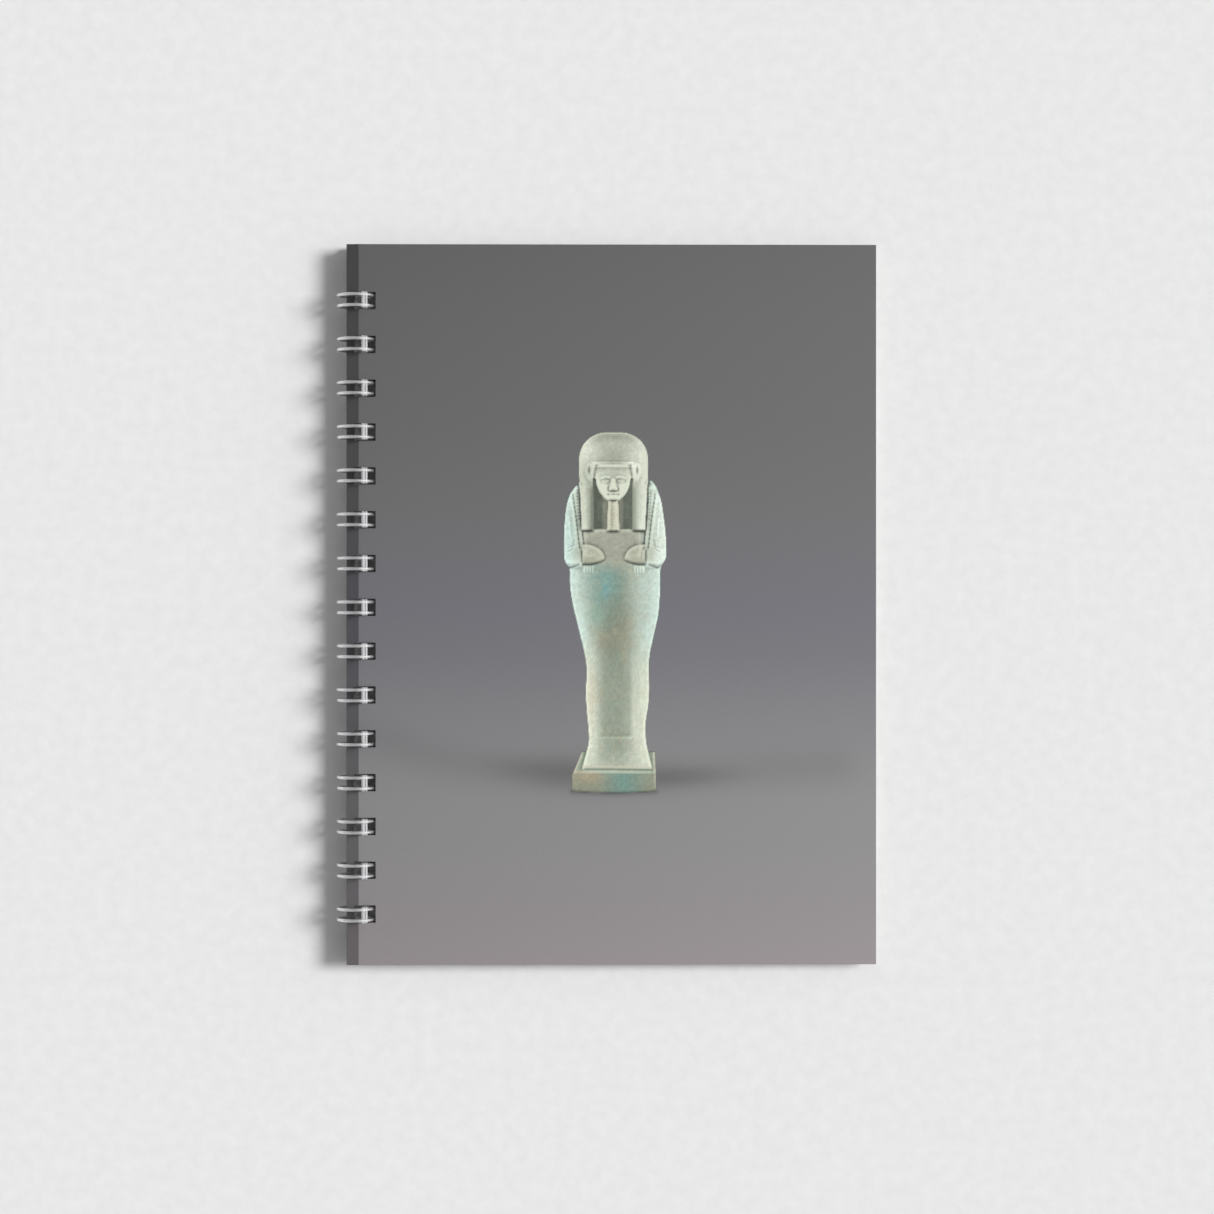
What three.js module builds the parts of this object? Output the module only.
// Notebook held by twin wire rings, lying closed on its back cover.
//
// Millimetres. +Z is up, +Y runs along the spine towards the head of the
// pages, and +X runs from the spine to the fore-edge. The origin is the
// middle of the footprint, on the surface that the notebook lies on.

import * as THREE from 'three';

// Covers and leaves
const COVER_WIDTH = 153.7;
const COVER_HEIGHT = 209;
const COVER_THICKNESS = 0.6;
const LEAF_COUNT = 30;
const LEAF_THICKNESS = 0.1;
const LEAF_TRIM = 0.6; // leaves stop this far inside the covers on three sides
const STACK_GAP = 0.3; // air between the leaves and each cover

// Twin wire rings
const WIRE_DIAMETER = 0.95;
const RING_OUTER_DIAMETER = 11.1;
const RING_OVERHANG = 2.91; // how far a ring stands out past the spine edge
const RING_PITCH = 12.7; // two rings to the inch
const RING_ROW_MARGIN = 12; // least distance from the last ring to the cover's end
const RING_ROW_DROP = 0.8; // the row of rings sits this far below the middle
const LEG_SPACING = 3.1; // between the two wires of one ring
const SEAM_ANGLE = THREE.MathUtils.degToRad(35); // from the top, towards the pages
const SEAM_GAP = 0.12; // between the two crossbars that meet at the seam
const HAIRPIN_RADIUS = 0.6; // bend from a leg into a crossbar
const BAR_SPREAD = 0.35; // the legs flare out this far where they meet the crossbars
const FLARE_LENGTH = 0.8; // along the leg
const WIRE_GAP = 0.2; // between the inside of a ring and the edge of the back cover

// Punched holes
const HOLE_MARGIN = 2.3; // spine edge to hole
const HOLE_SIDE_CLEARANCE = 0.475; // on each side of a ring, along the spine
const HOLE_END_CLEARANCE = 0.2; // past the widest point of a ring

// Facets of the wire
const WIRE_SIDES = 6;
const STEPS_PER_TURN = 16;
const STEPS_PER_BEND = 3;

const ringRadius = (RING_OUTER_DIAMETER - WIRE_DIAMETER) / 2;
const ringCentreX = RING_OUTER_DIAMETER / 2 - RING_OVERHANG;
const ringCentreZ = RING_OUTER_DIAMETER / 2;
const ringCount = Math.floor((COVER_HEIGHT - 2 * RING_ROW_MARGIN) / RING_PITCH) + 1;

const holeEnd = ringCentreX + RING_OUTER_DIAMETER / 2 + HOLE_END_CLEARANCE;
const holeHeight = LEG_SPACING + WIRE_DIAMETER + 2 * HOLE_SIDE_CLEARANCE;

// The spine edge of the back cover sits inside the curve of the rings and
// the fore-edge is on the table, so the whole stack leans by under a degree.
const ringInnerRadius = ringRadius - WIRE_DIAMETER / 2;
const backCoverLift = ringCentreZ
  - Math.sqrt((ringInnerRadius - WIRE_GAP) ** 2 - ringCentreX ** 2);
const stackLean = Math.asin(backCoverLift / COVER_WIDTH);
const pageBlockThickness = LEAF_COUNT * LEAF_THICKNESS;
const pageBlockLift = COVER_THICKNESS + STACK_GAP;
const frontCoverLift = pageBlockLift + pageBlockThickness + STACK_GAP;
const stackHeight = frontCoverLift + COVER_THICKNESS;

const printedBoard = new THREE.MeshStandardMaterial({
  color: 0x74747a, roughness: 0.55, metalness: 0,
});
const greyBoard = new THREE.MeshStandardMaterial({
  color: 0x6a6a6c, roughness: 0.6, metalness: 0,
});
const paper = new THREE.MeshStandardMaterial({
  color: 0xf2f1ec, roughness: 0.85, metalness: 0,
});
const nickelledWire = new THREE.MeshStandardMaterial({
  color: 0xc9cacc, roughness: 0.25, metalness: 1,
});

function named(name, geometry, material) {
  const mesh = new THREE.Mesh(geometry, material);
  mesh.name = name;
  return mesh;
}

// Middle of each ring along the spine, from the head of the pages down.
function ringPlaces() {
  const firstRing = ((ringCount - 1) / 2) * RING_PITCH - RING_ROW_DROP;
  return Array.from({ length: ringCount }, (_, i) => firstRing - i * RING_PITCH);
}

function addRectangle(path, left, right, bottom, top) {
  path.moveTo(left, bottom);
  path.lineTo(right, bottom);
  path.lineTo(right, top);
  path.lineTo(left, top);
  path.closePath();
  return path;
}

// A flat board or stack of leaves with a hole for every ring. The spine
// edge is at x = 0 and the underside at z = 0.
function punchedPlate(width, height, thickness) {
  const outline = addRectangle(new THREE.Shape(), 0, width, -height / 2, height / 2);
  for (const y of ringPlaces()) {
    const hole = addRectangle(
      new THREE.Path(), HOLE_MARGIN, holeEnd, y - holeHeight / 2, y + holeHeight / 2,
    );
    outline.holes.push(hole);
  }
  return new THREE.ExtrudeGeometry(outline, { depth: thickness, bevelEnabled: false });
}

function backCover() {
  const plate = punchedPlate(COVER_WIDTH, COVER_HEIGHT, COVER_THICKNESS);
  return named('back_cover', plate, greyBoard);
}

function pageBlock() {
  const plate = punchedPlate(
    COVER_WIDTH - LEAF_TRIM, COVER_HEIGHT - 2 * LEAF_TRIM, pageBlockThickness,
  );
  const block = named('page_block', plate, paper);
  block.position.z = pageBlockLift;
  return block;
}

function frontCover() {
  const plate = punchedPlate(COVER_WIDTH, COVER_HEIGHT, COVER_THICKNESS);
  const cover = named('front_cover', plate, printedBoard);
  cover.position.z = frontCoverLift;
  return cover;
}

// The wire's middle line on the unrolled ring: a long loop with round
// corners. "along" is the angle round the ring, measured from the seam over
// the top and the spine, and "across" is the offset along the spine.
function wireLine() {
  const seamHalf = (WIRE_DIAMETER + SEAM_GAP) / 2 / ringRadius;
  const bendAngle = HAIRPIN_RADIUS / ringRadius;
  const start = seamHalf + bendAngle;
  const end = 2 * Math.PI - seamHalf - bendAngle;
  const side = LEG_SPACING / 2;
  const flaredSide = side + BAR_SPREAD;
  const barEnd = flaredSide - HAIRPIN_RADIUS;
  const step = (2 * Math.PI) / STEPS_PER_TURN;

  // Whole steps from the top, so that the ring's four extremes are vertices.
  const legAngles = [];
  for (let angle = SEAM_ANGLE % step; angle < end - step / 4; angle += step) {
    if (angle > start + step / 4) legAngles.push(angle);
  }
  const flareAngle = FLARE_LENGTH / ringRadius;
  const leg = [
    { along: start, across: flaredSide },
    { along: start + flareAngle, across: side },
    ...legAngles.map((along) => ({ along, across: side })),
    { along: end - flareAngle, across: side },
    { along: end, across: flaredSide },
  ];

  const bend = (centreAlong, sideSign, from, to) => {
    const points = [];
    for (let k = 1; k < STEPS_PER_BEND; k += 1) {
      const turn = from + ((to - from) * k) / STEPS_PER_BEND;
      points.push({
        along: centreAlong + bendAngle * Math.cos(turn),
        across: sideSign * barEnd + HAIRPIN_RADIUS * Math.sin(turn),
      });
    }
    return points;
  };

  const quarter = Math.PI / 2;
  return [
    ...leg,
    ...bend(end, 1, quarter, 0),
    { along: end + bendAngle, across: barEnd },
    { along: end + bendAngle, across: -barEnd },
    ...bend(end, -1, 0, -quarter),
    ...leg.toReversed().map(({ along, across }) => ({ along, across: -across })),
    ...bend(start, -1, -quarter, -2 * quarter),
    { along: start - bendAngle, across: -barEnd },
    { along: start - bendAngle, across: barEnd },
    ...bend(start, 1, 2 * quarter, quarter),
  ];
}

// One wire bent into a double ring: two parallel legs all the way round,
// joined by a crossbar at each end, with the crossbars meeting at the seam.
function twinRingGeometry() {
  const points = wireLine().map(({ along, across }) => {
    const angle = SEAM_ANGLE - along;
    const outward = new THREE.Vector3(Math.sin(angle), 0, Math.cos(angle));
    const middle = outward.clone().multiplyScalar(ringRadius).setY(across);
    return { outward, middle };
  });

  const positions = [];
  points.forEach(({ outward, middle }, i) => {
    const before = points.at(i - 1).middle;
    const after = points[(i + 1) % points.length].middle;
    const forward = after.clone().sub(before).normalize();
    const sideways = forward.clone().cross(outward).normalize();
    for (let k = 0; k < WIRE_SIDES; k += 1) {
      const turn = (2 * Math.PI * k) / WIRE_SIDES;
      const corner = middle.clone()
        .addScaledVector(outward, (WIRE_DIAMETER / 2) * Math.cos(turn))
        .addScaledVector(sideways, (WIRE_DIAMETER / 2) * Math.sin(turn));
      positions.push(corner.x, corner.y, corner.z);
    }
  });

  const indices = [];
  for (let i = 0; i < points.length; i += 1) {
    const here = i * WIRE_SIDES;
    const next = ((i + 1) % points.length) * WIRE_SIDES;
    for (let k = 0; k < WIRE_SIDES; k += 1) {
      const j = (k + 1) % WIRE_SIDES;
      indices.push(here + k, here + j, next + j);
      indices.push(here + k, next + j, next + k);
    }
  }

  const geometry = new THREE.BufferGeometry();
  geometry.setAttribute('position', new THREE.Float32BufferAttribute(positions, 3));
  geometry.setIndex(indices);
  geometry.computeVertexNormals();
  return geometry;
}

function twinRings() {
  const rings = new THREE.Group();
  const geometry = twinRingGeometry();
  ringPlaces().forEach((y, i) => {
    const number = String(i + 1).padStart(2, '0');
    const ring = named(`twin_ring_${number}`, geometry, nickelledWire);
    ring.position.set(ringCentreX, y, ringCentreZ);
    rings.add(ring);
  });
  return rings;
}

function leaningStack() {
  const stack = new THREE.Group();
  stack.add(backCover(), pageBlock(), frontCover());
  stack.position.z = backCoverLift;
  stack.rotation.y = stackLean;
  return stack;
}

const notebook = new THREE.Group();
notebook.name = 'twin_wire_notebook';
notebook.add(leaningStack(), twinRings());

const foreEdgeReach = COVER_WIDTH * Math.cos(stackLean) + stackHeight * Math.sin(stackLean);
notebook.position.x = (RING_OVERHANG - foreEdgeReach) / 2;

export default notebook;
